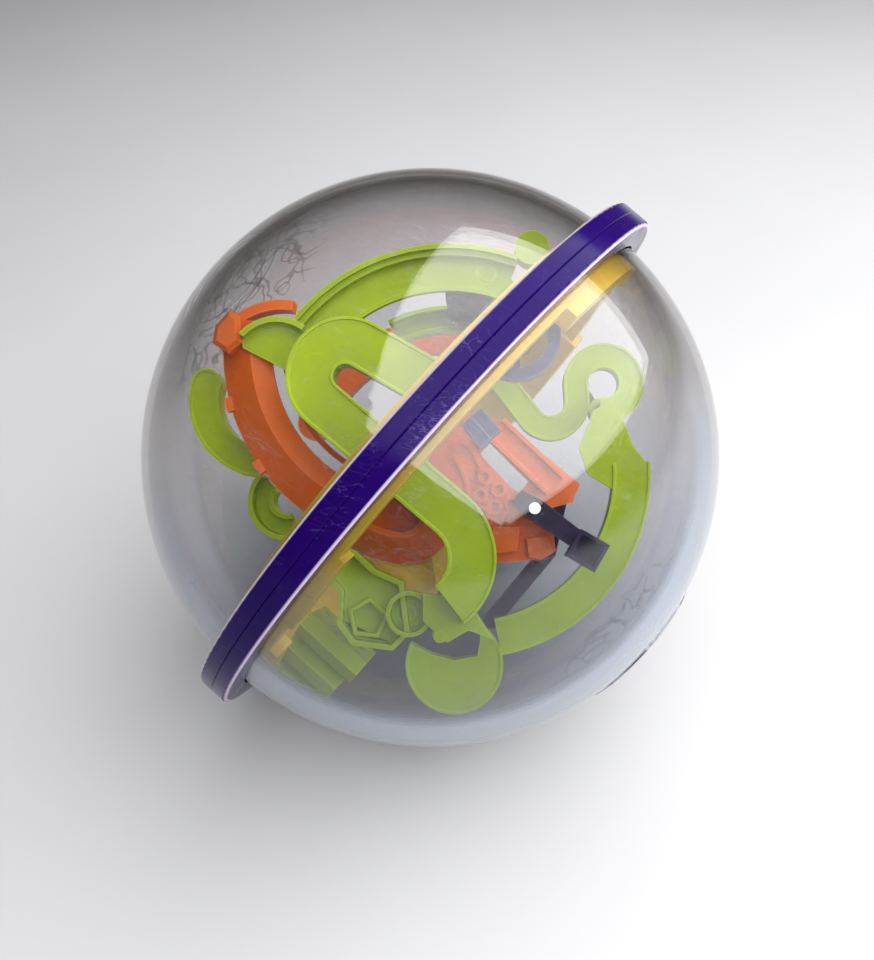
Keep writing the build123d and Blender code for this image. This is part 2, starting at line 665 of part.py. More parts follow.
# ---------------------------------------------------------------- right of the maze
def deck():
    """Orange plate across the middle, with dimples and two curved rails."""
    edge = outline((-3, 4), (6, 14), (14, 14), (24, 12.5), (50, -9), (47.5, -15), (40, -17), (42, -31),
                   (36, -34), (22, -35), (14, -24), (3, -6))
    window = outline((20, 5), (33, -8), (30, -12), (27, -10), (17, 1))
    plate = slab(edge - window, DECK_Z, DECK_Z + DECK_T)
    for x, y in DIMPLES:
        plate -= leg((x, y), DECK_Z + DECK_T - DIMPLE_DEPTH, DECK_Z + DECK_T, DIMPLE_R)
    high = DECK_Z + DECK_T
    for radius in DECK_RAIL_RADII:
        rail = arc(DECK_RAIL_CENTRE, radius, *DECK_RAIL_SPAN)
        plate += slab(trace(rail, line_width=DECK_RAIL_W), DECK_Z, high + DECK_RAIL_H)
    for stud in STUDS:
        plate += leg(stud, DECK_Z, high + STUD_H, STUD_R)
    for stud in STUDS:
        plate -= leg(stud, high, high + STUD_H, STUD_HOLE_R)
    return plate


def bridge_bar():
    """Straight covered channel on the plate."""
    return channel(Line((22, 9.5), (42, -9.5)), BRIDGE_W, DECK_Z + DECK_T, BRIDGE_H)


def stop_blocks():
    """Blocks beside the lever; they end its travel."""
    low = DECK_Z + DECK_T
    near = outline((21, -23), (30, -23), (29, -31), (21, -32))
    far = outline((32, -27), (40, -26), (42, -31), (37, -34), (33, -33))
    return slab(near, low, low + STOP_H[0]), slab(far, low, low + STOP_H[1])


def stop_block_near():
    return stop_blocks()[0]


def stop_block_far():
    return stop_blocks()[1]


def prism_block():
    """Grey-purple block with a crease, on a post."""
    low, high = PRISM_Z
    across, along = PRISM_SIZE
    body = slab(Rectangle(across, along), low, high)
    body -= slab(Pos(across / 4, 0) * Rectangle(across / 2, along), high - PRISM_CREASE, high)
    body = Pos(*PRISM_AT) * Rot(0, 0, PRISM_TURN) * body
    return body + leg(PRISM_AT, DECK_Z + DECK_T, low)


def snake_track():
    """Narrow winding track deep on the right."""
    run = crossing_angle(SNAKE_LOW, SNAKE_LOW_R, SNAKE_HIGH, SNAKE_HIGH_R)
    foot = on_spine(SNAKE_LEG)
    start = polar(SNAKE_LOW, SNAKE_LOW_R, SNAKE_START_ANGLE)
    lead = Line(foot, start)
    leave = polar(SNAKE_LOW, SNAKE_LOW_R, run - 90)
    join = polar(SNAKE_HIGH, SNAKE_HIGH_R, run + 90)
    path = lead + arc(SNAKE_LOW, SNAKE_LOW_R, SNAKE_START_ANGLE, run + 270) + Line(leave, join)
    path += arc(SNAKE_HIGH, SNAKE_HIGH_R, run + 90, SNAKE_END_ANGLE)
    face = SNAKE_Z + TRACK_H
    track = covered(path, SNAKE_W, SNAKE_Z, TRACK_H, "start finish")
    return track + leg(foot, face - FLOOR, -SPINE_T / 2)


def curve_track():
    """Long arc on the right, with an angled head over the end of the winding track."""
    track = covered(arc(CURVE_CENTRE, CURVE_R, *CURVE_SPAN), CURVE_W, CURVE_Z, TRACK_H)
    face = CURVE_Z + TRACK_H
    head = outline((62, -10), (54, -5), (51, 4), (56, 17), (62, 21), (66, 14), (70, 4), (75, -2), (70, -10))
    track += slab(head, face - FLOOR, face)
    post = polar(SNAKE_HIGH, SNAKE_HIGH_R, SNAKE_END_ANGLE)
    return track + leg(post, SNAKE_Z + TRACK_H, face)


def turn_basin():
    """Round basin at the foot of the long arc, open at its top."""
    disc = Circle(BASIN_R)
    opening = outline((-18, 12), (-15, 7), (-8, 3.5), (0, 1.5), (8, 3), (9, 9), (7, 20), (-14, 20))
    low, face = CURVE_Z, CURVE_Z + TRACK_H
    solid = slab(disc - opening, low, face)
    hollow = slab(Circle(BASIN_R - WALL) - offset(opening, WALL), low, face - FLOOR)
    edge = slab(disc - opening, face, face + LIP_H) - slab(Circle(BASIN_R - LIP_W), face, face + LIP_H)
    return Pos(*BASIN_CENTRE) * (solid - hollow + edge)


def purple_strut():
    """Bent strut from the plate down to the long arc."""
    path = Polyline((45, -11), (40.5, -32), (20.5, -56))
    low = CURVE_Z - STRUT_SINK
    strut = slab(ribbon(path, STRUT_W, "start finish"), low, low + STRUT_H)
    return strut + leg(STRUT_POST, low, DECK_Z)


# ---------------------------------------------------------------- moving pieces and their pins
def spinner_bracket():
    """Pale yellow disc behind the spinner, on its post."""
    centre = on_equator(SPINNER_T)
    post = on_spine(SPINNER_T)
    seat = SPINNER_Z - END_GAP
    low = seat - DISC_BOSS_H - DISC_T
    plate = Pos(*centre) * Circle(DISC_R) + Pos(*post) * Circle(LEG_R + WALL)
    bracket = slab(plate, low, low + DISC_T) + leg(post, SPINE_T / 2, low)
    return bracket + leg(centre, low + DISC_T, seat, AXLE_R + WALL)


def spinner_axle():
    """Axle and cap of the spinner."""
    centre = on_equator(SPINNER_T)
    top = SPINNER_Z + SPINNER_H + END_GAP
    pin = leg(centre, SPINNER_Z - END_GAP, top, AXLE_R)
    return pin + leg(centre, top, top + AXLE_CAP_T, AXLE_CAP_R)


def spinner_wheel():
    """Wheel with a hub, a ring and thin spokes."""
    low, high = SPINNER_Z, SPINNER_Z + SPINNER_H
    inner = SPINNER_R - SPINNER_RING_W
    wheel = slab(Circle(SPINNER_R) - Circle(inner), low, high - HUB_RISE)
    wheel += slab(Circle(SPINNER_HUB_R), low, high)
    for n in range(SPINNER_SPOKES):
        spoke = Pos((SPINNER_HUB_R + inner) / 2, 0) * Rectangle(inner - SPINNER_HUB_R + SPOKE_W, SPOKE_W)
        wheel += slab(Rot(0, 0, SPOKE_TURN + 360 * n / SPINNER_SPOKES) * spoke, low, low + SPOKE_T)
    wheel -= slab(Circle(AXLE_R + RUN_GAP), low, high)
    return Pos(*on_equator(SPINNER_T)) * wheel


def lever_pin():
    """Steel pin that the lever rocks on, with a shoulder and a head."""
    low, high = DECK_Z + DECK_T, LEVER_Z + LEVER_H
    pin = leg(LEVER_AT, low, high + END_GAP, LEVER_PIN_R)
    pin += leg(LEVER_AT, low, LEVER_Z - END_GAP, LEVER_SHOULDER_R)
    return pin + leg(LEVER_AT, high + END_GAP, high + END_GAP + LEVER_HEAD_T, LEVER_HEAD_R)


def lever():
    """Rocking lever with an open box at its far end."""
    arm = outline((-7, -2.2), (0, -3.6), (17, -3), (17, 3), (0, 3.6), (-7, 2.4))
    box = Pos(*LEVER_BOX_AT) * Rot(0, 0, LEVER_BOX_TURN) * Rectangle(*LEVER_BOX)
    high = LEVER_Z + LEVER_H + LEVER_BOX_RISE
    body = slab(arm, LEVER_Z, LEVER_Z + LEVER_H) + slab(box, LEVER_Z, high)
    body -= slab(offset(box, -LEVER_BOX_WALL), LEVER_Z + FLOOR, high)
    body -= leg((0, 0), LEVER_Z, LEVER_Z + LEVER_H, LEVER_PIN_R + RUN_GAP)
    return Pos(*LEVER_AT) * Rot(0, 0, LEVER_HEADING) * body


def marble():
    """Steel ball, at rest at the lower end of its run."""
    return Pos(*polar(MARBLE_TOP, MARBLE_TRAVEL, MARBLE_HEADING), MARBLE_Z) * Sphere(MARBLE_R)


# ---------------------------------------------------------------- back of the maze
def rear_arc_track():
    """Orange arc near the back."""
    path = arc((0, 0), REAR_ARC_R, *REAR_ARC_SPAN)
    track = slab_back(path, TRACK_W, REAR_ARC_Z, "start finish")
    return track + leg(on_spine(REAR_ARC_LEG), REAR_ARC_Z - FLOOR, -SPINE_T / 2)


def rear_loop_track():
    """Green loop near the back."""
    path = arc(REAR_LOOP, REAR_LOOP_R, *REAR_LOOP_SPAN)
    track = slab_back(path, TRACK_W, REAR_LOOP_Z)
    return track + leg(on_spine(REAR_LOOP_LEG), REAR_LOOP_Z - FLOOR, -SPINE_T / 2)


def slab_back(path, width, high, ends=""):
    """Track open to the back, with its floor at this depth."""
    outside = ribbon(path, width, ends)
    inside = ribbon(path, width - 2 * WALL, ends)
    return slab(outside, high - TRACK_H, high) - slab(inside, high - TRACK_H, high - FLOOR)


def rear_cup():
    """Yellow cup near the back."""
    low = REAR_CUP_Z - REAR_CUP_H
    floor = REAR_CUP_Z - FLOOR
    foot = on_spine(REAR_CUP_LEG)
    cup = slab(Circle(REAR_CUP_R), low, REAR_CUP_Z) - slab(Circle(REAR_CUP_R - WALL), low, floor)
    return Pos(*foot) * cup + leg(foot, floor, -SPINE_T / 2)


def rear_ramp():
    """Purple stepped ramp near the back."""
    body = leg(on_spine(RAMP_START - RAMP_STEP), RAMP_Z - RAMP_RISE / 2, -SPINE_T / 2)
    for n in range(RAMP_STEPS):
        near = RAMP_START - RAMP_STEP * n
        step = outline((near, RAMP_Z), (near, RAMP_Z - RAMP_RISE * (n + 1)),
                       (near - RAMP_STEP, RAMP_Z - RAMP_RISE * (n + 1)), (near - RAMP_STEP, RAMP_Z))
        body += along_pole(step, -SPINE_SET_BACK - RAMP_W / 2, -SPINE_SET_BACK + RAMP_W / 2)
    return body


# ---------------------------------------------------------------- the whole ball
def build():
    """Every node by name, in the maze frame; later pieces are cut back by earlier ones."""
    frame = equator_frame()
    domes = {"dome_a": from_ball(dome()), "dome_b": from_ball(Rot(180, 0, 0) * dome())}
    band = {"band_half_a": band_half_a(), "band_half_b": band_half_b(), "band_screws": band_screws()}
    wave = wave_track()
    shell = trough()
    cup = clear_of(trough_cup(), shell, wave)
    arc_track = top_arc_track()
    inner_arc = inner_arc_track()
    plate = clear_of(deck(), frame, wave, shell)
    block = clear_of(trough_block(), shell)
    curve = curve_track()
    basin = clear_of(turn_basin(), curve)
    strut = clear_of(purple_strut(), curve, basin)
    fixed = {
        "equator_frame": frame,
        "wave_track": wave,
        "wave_end_bracket": clear_of(wave_end_bracket(), wave),
        "top_arc_track": arc_track,
        "inner_arc_track": inner_arc,
        "cross_bar": clear_of(cross_bar(), inner_arc),
        "trough": shell,
        "trough_cup": cup,
        "trough_block": block,
        "link_tab": clear_of(link_tab(), shell, wave, block),
        "start_rail": clear_of(start_rail(), shell),
        "deck": plate,
        "prism_block": prism_block(),
        "curve_track": curve,
        "turn_basin": basin,
        "purple_strut": strut,
        "snake_track": snake_track(),
        "stair_block": clear_of(stair_block(), frame),
        "rear_arc_track": rear_arc_track(),
        "rear_loop_track": rear_loop_track(),
        "rear_cup": rear_cup(),
        "rear_ramp": rear_ramp(),
    }
    finger = clear_of(finger_track(), shell)
    fixed["finger_track"] = finger
    fixed["finger_cup"] = clear_of(finger_cup(), finger)
    fixed["hanging_pin"] = clear_of(hanging_pin(), fixed["wave_end_bracket"])
    tray = clear_of(star_tray(), shell, cup)
    fixed["star_tray"] = tray
    fixed["finish_cup"] = clear_of(finish_cup(), tray, fixed["wave_end_bracket"])
    fixed["yellow_shelf"] = clear_of(yellow_shelf(), shell, cup)
    fixed["bridge_bar"] = clear_of(bridge_bar(), frame, fixed["prism_block"])
    fixed["stop_block_near"] = stop_block_near()
    fixed["stop_block_far"] = stop_block_far()
    fixed["spinner_bracket"] = spinner_bracket()
    fixed["spinner_axle"] = spinner_axle()
    fixed["lever_pin"] = lever_pin()
    moving = {"spinner_wheel": spinner_wheel(), "lever": lever(), "marble": marble()}
    return {**domes, **band, **fixed, **moving}


os.makedirs("parts", exist_ok=True)
for name, solid in build().items():
    export_step(at_rest(solid), f"parts/{name}.step")
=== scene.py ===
"""Looks for the clear maze ball: moulded plastic pieces, clear domes, steel parts and a plain studio.

Every length is in metres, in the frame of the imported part, whose origin is the centre of the ball.
"""
import json
import math

import bmesh
import bpy
from bpy.props import FloatProperty, FloatVectorProperty, PointerProperty
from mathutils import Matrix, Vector

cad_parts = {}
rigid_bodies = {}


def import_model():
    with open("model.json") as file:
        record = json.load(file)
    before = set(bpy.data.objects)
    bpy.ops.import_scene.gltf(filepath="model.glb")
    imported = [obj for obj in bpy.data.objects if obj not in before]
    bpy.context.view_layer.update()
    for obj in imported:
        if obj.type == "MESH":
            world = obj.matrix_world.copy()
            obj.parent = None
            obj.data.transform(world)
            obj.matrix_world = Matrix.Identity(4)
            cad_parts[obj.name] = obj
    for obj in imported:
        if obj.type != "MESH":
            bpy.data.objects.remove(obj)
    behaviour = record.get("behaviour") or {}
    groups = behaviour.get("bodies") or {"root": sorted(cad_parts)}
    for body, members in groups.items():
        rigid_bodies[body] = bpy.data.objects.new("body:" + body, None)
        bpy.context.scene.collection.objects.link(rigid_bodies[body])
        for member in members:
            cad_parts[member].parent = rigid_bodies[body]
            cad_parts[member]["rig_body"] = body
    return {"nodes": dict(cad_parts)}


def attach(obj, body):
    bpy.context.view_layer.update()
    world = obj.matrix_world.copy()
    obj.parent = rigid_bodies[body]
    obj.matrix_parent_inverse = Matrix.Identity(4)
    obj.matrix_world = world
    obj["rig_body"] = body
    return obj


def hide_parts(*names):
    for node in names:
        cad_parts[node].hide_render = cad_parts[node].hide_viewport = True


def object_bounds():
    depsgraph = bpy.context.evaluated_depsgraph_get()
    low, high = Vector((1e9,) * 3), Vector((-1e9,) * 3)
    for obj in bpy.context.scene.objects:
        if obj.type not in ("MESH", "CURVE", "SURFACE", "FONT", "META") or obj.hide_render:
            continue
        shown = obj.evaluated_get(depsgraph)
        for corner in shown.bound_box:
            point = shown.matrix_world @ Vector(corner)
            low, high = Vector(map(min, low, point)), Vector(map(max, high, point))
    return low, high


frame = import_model()

bl_info = {
    "name": "Clear maze ball",
    "version": (1, 0, 0),
    "blender": (4, 5, 0),
    "location": "3D View > Sidebar > Maze ball",
    "description": "Makes the moulded, clear and steel pieces of a maze ball, and a plain studio",
    "category": "Object",
}

CAD_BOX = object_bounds()
FLOOR_HEIGHT = CAD_BOX[0].z
BALL_RADIUS = -FLOOR_HEIGHT

# The pole axis of the domes, which leans because the ball lies on its band.
LEAN = math.radians(27.03)
POLE = (math.cos(LEAN), 0.0, -math.sin(LEAN))

# Meshes: what counts as one point, as flat and as a sharp edge.
MERGE_WITHIN = 2e-6
FLAT_WITHIN = math.radians(0.8)
SHARP_BEYOND = math.radians(32)
SHADE_SHARP_BEYOND = math.radians(42)
ROUND_STEPS = 2

# Kinds of socket in the shared node groups.
NUMBER = "NodeSocketFloat"
COLOUR = "NodeSocketColor"

# Moulded plastic.
# Painted highlight: how far a rounded normal turns from the face before the edge is painted paler, as if it
# caught the light.
EDGE_HIGHLIGHT_TURN = (0.998, 0.90)
SCUFF_AT = (0.040, -0.062, 0.071)
SCUFF_RADIUS = 0.016
SCUFF_COLOUR = (0.20, 0.16, 0.42)
# Painted highlight: where the band's two rims are painted paler, as if they caught the light, and how
# strongly.
RIM_HIGHLIGHT_SIDE = (0.0044, 0.0049)
RIM_HIGHLIGHT_OUT = (0.1026, 0.1031)
RIM_HIGHLIGHT_STRENGTH = 0.8
RUBBED_STEEL = (0.75, 0.75, 0.76, 1.0)

# Clear plastic.
PLASTIC_IOR = 1.49
# Edge-on darkening of the domes: partly the longer path through the plastic, partly painted shade.
LIMB_POWER = 3.6
# Painted shade: how far the see-through colour is darkened on the side away from the darker one.
LOWER_SHADE_AMOUNT = 0.45
# Painted reflection: where along the limb, and how strongly, a pale lit layer is painted on the side away
# from the darker one.
CRESCENT_REFLECTION_FROM = (0.60, 0.66)
CRESCENT_REFLECTION_STRENGTH = 0.72
SWIRL_ZONE = (0.083, 0.087)
SWIRL_COLOUR = (0.34, 0.32, 0.31, 1.0)

# Studio: the wide soft light, the floor and the backdrop behind it.
WINDOW_AT = (0.5, 0.1, 0.86)
WINDOW_DISTANCE = 0.75
WINDOW_SIZE = (1.85, 1.3)
FLOOR_HALF_WIDTH = 4.0
BACKDROP = 0.85
SKY_LOW = (0.62, 0.61, 0.6, 1.0)
SKY_HIGH = (0.95, 0.97, 1.0, 1.0)


# ------------------------------------------------------------------ meshes
def softened(node, edge_round):
    """A merged copy of a CAD node's mesh, with its sharp edges rounded as a mould leaves them."""
    shape = bmesh.new()
    shape.from_mesh(frame["nodes"][node].data)
    bmesh.ops.remove_doubles(shape, verts=shape.verts, dist=MERGE_WITHIN)
    bmesh.ops.dissolve_limit(shape, angle_limit=FLAT_WITHIN, verts=shape.verts, edges=shape.edges)
    sharp = [e for e in shape.edges if len(e.link_faces) == 2 and e.calc_face_angle(0) > SHARP_BEYOND]
    if edge_round > 0:
        bmesh.ops.bevel(shape, geom=sharp, offset=edge_round, offset_type="OFFSET", segments=ROUND_STEPS,
                        profile=0.5, affect="EDGES", clamp_overlap=True, material=-1)
    return shape


def finished_piece(name, shape):
    """A mesh object made from a bmesh, smooth across its rounded edges."""
    for face in shape.faces:
        face.smooth = True
    mesh = bpy.data.meshes.new(name)
    shape.to_mesh(mesh)
    shape.free()
    if "custom_normal" in mesh.attributes:
        mesh.attributes.remove(mesh.attributes["custom_normal"])
    mesh.set_sharp_from_angle(angle=SHADE_SHARP_BEYOND)
    piece = bpy.data.objects.new(name, mesh)
    bpy.context.scene.collection.objects.link(piece)
    normals = piece.modifiers.new("even_shading", "WEIGHTED_NORMAL")
    normals.keep_sharp = True
    return piece


def mould(node, material, edge_round):
    """The visible piece that stands for a CAD node."""
    piece = finished_piece(f"{node}_moulded", softened(node, edge_round))
    piece.data.materials.clear()
    piece.data.materials.append(material)
    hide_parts(node)
    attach(piece, frame["nodes"][node]["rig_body"])


# ------------------------------------------------------------------ shader helpers
class Wiring:
    """Adds nodes to a tree and joins them."""

    def __init__(self, tree):
        self.tree = tree

    def add(self, kind, settings=None, **inputs):
        """A node; each input is a value or the socket that feeds it, by the socket's name."""
        node = self.tree.nodes.new(kind)
        for key, value in (settings or {}).items():
            setattr(node, key, value)
        for name, value in inputs.items():
            self.feed(node, name.replace("_", " "), value)
        return node

    def feed(self, node, name, value):
        """Puts a value, or another node's socket, into a named input."""
        socket = node.inputs[int(name)] if name.isdigit() else node.inputs[name]
        if isinstance(value, bpy.types.NodeSocket):
            self.tree.links.new(value, socket)
        else:
            socket.default_value = value

    def maths(self, operation, first, second=0.0, clamp=False):
        """One arithmetic step."""
        node = self.tree.nodes.new("ShaderNodeMath")
        node.operation = operation
        node.use_clamp = clamp
        self.feed(node, "0", first)
        self.feed(node, "1", second)
        return node.outputs[0]

    def spread(self, value, low, high, to_low=0.0, to_high=1.0):
        """A value, stretched from one range to another and held inside it."""
        node = self.add("ShaderNodeMapRange", {"clamp": True}, Value=value)
        for name, amount in (("From Min", low), ("From Max", high), ("To Min", to_low), ("To Max", to_high)):
            self.feed(node, name, amount)
        return node.outputs[0]

    def blend(self, factor, first, second):
        """Two colours, mixed by a factor."""
        node = self.tree.nodes.new("ShaderNodeMix")
        node.data_type = "RGBA"
        node.blend_type = "MIX"
        self.feed(node, "0", factor)
        self.feed(node, "6", first)
        self.feed(node, "7", second)
        return node.outputs[2]

    def noise(self, place, scale, detail=2.0, roughness=0.5):
        """Plain three-dimensional noise."""
        return self.add("ShaderNodeTexNoise", Vector=place, Scale=scale, Detail=detail,
                        Roughness=roughness).outputs[0]


def new_group(name, inputs, outputs):
    """An empty node group with named sockets, and the wiring to fill it."""
    group = bpy.data.node_groups.new(name, "ShaderNodeTree")
    for socket, kind, value in inputs:
        made = group.interface.new_socket(socket, in_out="INPUT", socket_type=kind)
        made.default_value = value
    for socket, kind in outputs:
        group.interface.new_socket(socket, in_out="OUTPUT", socket_type=kind)
    wiring = Wiring(group)
    return group, wiring, wiring.add("NodeGroupInput").outputs, wiring.add("NodeGroupOutput")


def rgba(colour):
    """A colour with full alpha."""
    return (*colour[:3], 1.0)


def hairline_group():
    """Fine straight scratches in three directions, broken up into short lengths."""
    inputs = [("Scale", NUMBER, 30.0), ("Width", NUMBER, 0.01), ("Amount", NUMBER, 0.5)]
    group, wiring, given, result = new_group("hairline_scratches", inputs, [("Mask", NUMBER)])
    place = wiring.add("ShaderNodeTexCoord").outputs["Object"]
    total = 0.0
    for turn, tilt in ((0.4, 0.2), (1.5, -0.6), (2.5, 0.9)):
        lay = wiring.add("ShaderNodeMapping", Vector=place, Rotation=(tilt, turn, turn + tilt),
                         Scale=(1.0, 9.0, 14.0)).outputs[0]
        lines = wiring.noise(lay, given["Scale"], 1.0)
        lines = wiring.maths("ABSOLUTE", wiring.maths("SUBTRACT", lines, 0.5))
        lines = wiring.maths("SUBTRACT", 1.0, wiring.maths("DIVIDE", lines, given["Width"]), clamp=True)
        broken = wiring.spread(wiring.noise(place, 55.0 + 20.0 * turn, 2.0), 0.52, 0.66)
        total = wiring.maths("ADD", total, wiring.maths("MULTIPLY", lines, broken))
    wiring.feed(result, "Mask", wiring.maths("MULTIPLY", total, given["Amount"], clamp=True))
    return group


def moulded_group():
    """Injection-moulded plastic: uneven colour, edges painted paler as a painted highlight, fine grain and
    uneven gloss.
    """
    inputs = [("Colour", COLOUR, (0.5, 0.5, 0.5, 1.0)), ("Edge Colour", COLOUR, (0.8, 0.8, 0.8, 1.0)),
              ("Edge Width", NUMBER, 0.0006), ("Edge Amount", NUMBER, 0.6), ("Unevenness", NUMBER, 0.2),
              ("Gloss Low", NUMBER, 0.2), ("Gloss High", NUMBER, 0.4), ("Grain", NUMBER, 0.3)]
    outputs = [("Colour", COLOUR), ("Roughness", NUMBER), ("Height", NUMBER)]
    group, wiring, given, result = new_group("moulded_plastic", inputs, outputs)
    place = wiring.add("ShaderNodeTexCoord").outputs["Object"]
    cloud = wiring.spread(wiring.noise(place, 38.0, 3.0), 0.3, 0.7)
    shade = wiring.maths("MULTIPLY", cloud, given["Unevenness"])
    shaded = wiring.blend(shade, given["Colour"], (0.0, 0.0, 0.0, 1.0))
    # Painted highlight: edges, found where the rounded normal turns from the face's own, are painted towards
    # the edge colour as if they caught the light.
    rounded = wiring.add("ShaderNodeBevel", {"samples": 4}, Radius=given["Edge Width"]).outputs[0]
    facing = wiring.add("ShaderNodeNewGeometry").outputs["Normal"]
    turned = wiring.add("ShaderNodeVectorMath", {"operation": "DOT_PRODUCT"})
    wiring.feed(turned, "0", rounded)
    wiring.feed(turned, "1", facing)
    edge = wiring.spread(turned.outputs["Value"], *EDGE_HIGHLIGHT_TURN)
    edge = wiring.maths("MULTIPLY", edge, given["Edge Amount"])
    wiring.feed(result, "Colour", wiring.blend(edge, shaded, given["Edge Colour"]))
    worn = wiring.spread(wiring.noise(place, 90.0, 4.0, 0.6), 0.35, 0.65)
    span = wiring.maths("SUBTRACT", given["Gloss High"], given["Gloss Low"])
    roughness = wiring.maths("ADD", wiring.maths("MULTIPLY", worn, span), given["Gloss Low"])
    wiring.feed(result, "Roughness", roughness)
    fine = wiring.noise(place, 2600.0, 2.0)
    broad = wiring.noise(place, 120.0, 1.0)
    grain = wiring.maths("MULTIPLY", fine, given["Grain"])
    wiring.feed(result, "Height", wiring.maths("ADD", grain, broad))
    return group


def patch_group():
    """A round patch about a place, with a ragged edge."""
    inputs = [("Centre", "NodeSocketVector", (0.0, 0.0, 0.0)), ("Radius", NUMBER, 0.01)]
    group, wiring, given, result = new_group("ragged_patch", inputs, [("Mask", NUMBER)])
    place = wiring.add("ShaderNodeTexCoord").outputs["Object"]
    apart = wiring.add("ShaderNodeVectorMath", {"operation": "DISTANCE"})
    wiring.feed(apart, "0", place)
    wiring.feed(apart, "1", given["Centre"])
    ragged = wiring.maths("MULTIPLY", wiring.noise(place, 140.0, 4.0, 0.65), given["Radius"])
    reach = wiring.maths("DIVIDE", wiring.maths("ADD", apart.outputs["Value"], ragged), given["Radius"])
    wiring.feed(result, "Mask", wiring.spread(reach, 1.5, 1.0))
    return group


def shared_group(name):
    """A node group by name, made the first time that it is asked for."""
    makers = {"hairline_scratches": hairline_group, "moulded_plastic": moulded_group,
              "ragged_patch": patch_group}
    return bpy.data.node_groups.get(name) or makers[name]()


def new_material(name):
    """A material with nothing but its output, and the wiring to fill it."""
    material = bpy.data.materials.new(name)
    material.use_nodes = True
    material.node_tree.nodes.clear()
    wiring = Wiring(material.node_tree)
    return material, wiring, wiring.add("ShaderNodeOutputMaterial")


def grouped(wiring, name, **values):
    """A shared node group inside a material."""
    return wiring.add("ShaderNodeGroup", {"node_tree": shared_group(name)}, **values).outputs


# ------------------------------------------------------------------ materials
def from_equator(wiring, place):
    """Distance from the plane between the two domes."""
    along = wiring.add("ShaderNodeVectorMath", {"operation": "DOT_PRODUCT"})
    wiring.feed(along, "0", place)
    wiring.feed(along, "1", POLE)
    return wiring.maths("ABSOLUTE", along.outputs["Value"])


def band_rim_highlights(wiring):
    """Mask of the painted highlight along the two rounded rims of the equator band."""
    place = wiring.add("ShaderNodeTexCoord").outputs["Object"]
    outward = wiring.add("ShaderNodeVectorMath", {"operation": "LENGTH"}, Vector=place).outputs["Value"]
    side = wiring.spread(from_equator(wiring, place), *RIM_HIGHLIGHT_SIDE)
    return wiring.maths("MULTIPLY", side, wiring.spread(outward, *RIM_HIGHLIGHT_OUT))


def moulded_material(name, colour, highlight_and_scratch_colour, gloss, edge_highlight_amount=0.55, specular=0.2, patch=None,
                     scratch_colour=None):
    """Moulded plastic of one colour, with hairline scratches and a painted highlight along its edges, or on
    the band along its two rims.
    """
    material, wiring, out = new_material(name)
    body = grouped(wiring, "moulded_plastic", Colour=rgba(colour), Edge_Colour=rgba(highlight_and_scratch_colour),
                   Edge_Amount=edge_highlight_amount, Unevenness=0.22, Gloss_Low=gloss[0], Gloss_High=gloss[1])
    scratches = grouped(wiring, "hairline_scratches", Scale=34.0, Width=0.007, Amount=0.55)["Mask"]
    if patch:
        scuffed = grouped(wiring, "ragged_patch", Centre=patch[0], Radius=patch[1])["Mask"]
        dense = grouped(wiring, "hairline_scratches", Scale=70.0, Width=0.03, Amount=1.0)["Mask"]
        scratches = wiring.maths("MAXIMUM", wiring.maths("MULTIPLY", scratches, 0.5),
                                 wiring.maths("MULTIPLY", scuffed, wiring.maths("MULTIPLY", dense, 0.55)))
    pale = scratch_colour or highlight_and_scratch_colour
    colour_out = wiring.blend(wiring.maths("MULTIPLY", scratches, 0.7), body["Colour"], rgba(pale))
    # Painted highlight: the band's two rims are painted towards its edge colour.
    if patch:
        rims = wiring.maths("MULTIPLY", band_rim_highlights(wiring), RIM_HIGHLIGHT_STRENGTH)
        colour_out = wiring.blend(rims, colour_out, rgba(highlight_and_scratch_colour))
    rough = wiring.maths("ADD", body["Roughness"], wiring.maths("MULTIPLY", scratches, 0.3))
    height = wiring.maths("SUBTRACT", body["Height"], wiring.maths("MULTIPLY", scratches, 0.8))
    bump = wiring.add("ShaderNodeBump", Strength=0.25, Distance=0.00012, Height=height).outputs[0]
    shader = wiring.add("ShaderNodeBsdfPrincipled", Base_Color=colour_out, Roughness=rough, Normal=bump)
    shader.inputs["Specular IOR Level"].default_value = specular
    shader.inputs["IOR"].default_value = 1.5
    wiring.feed(out, "Surface", shader.outputs[0])
    return material


def steel_material(name, tint):
    """Polished steel with faint rub marks."""
    material, wiring, out = new_material(name)
    scratches = grouped(wiring, "hairline_scratches", Scale=90.0, Width=0.02, Amount=0.8)["Mask"]
    place = wiring.add("ShaderNodeTexCoord").outputs["Object"]
    cloud = wiring.spread(wiring.noise(place, 300.0, 3.0), 0.35, 0.7, 0.07, 0.2)
    rough = wiring.maths("ADD", cloud, wiring.maths("MULTIPLY", scratches, 0.25))
    colour = wiring.blend(wiring.maths("MULTIPLY", scratches, 0.4), rgba(tint), RUBBED_STEEL)
    bump = wiring.add("ShaderNodeBump", Strength=0.2, Distance=0.00005, Height=scratches).outputs[0]
    shader = wiring.add("ShaderNodeBsdfPrincipled", Base_Color=colour, Roughness=rough, Metallic=1.0,
                        Normal=bump)
    wiring.feed(out, "Surface", shader.outputs[0])
    return material


def pole_swirls(wiring, place):
    """Thin curling lines on the caps round the two poles."""
    cap = wiring.spread(from_equator(wiring, place), *SWIRL_ZONE)
    level = wiring.noise(place, 75.0, 1.5)
    off_line = wiring.maths("ABSOLUTE", wiring.maths("SUBTRACT", level, 0.5))
    line = wiring.spread(off_line, 0.022, 0.010)
    return wiring.maths("MULTIPLY", wiring.maths("MULTIPLY", line, cap), 0.5)


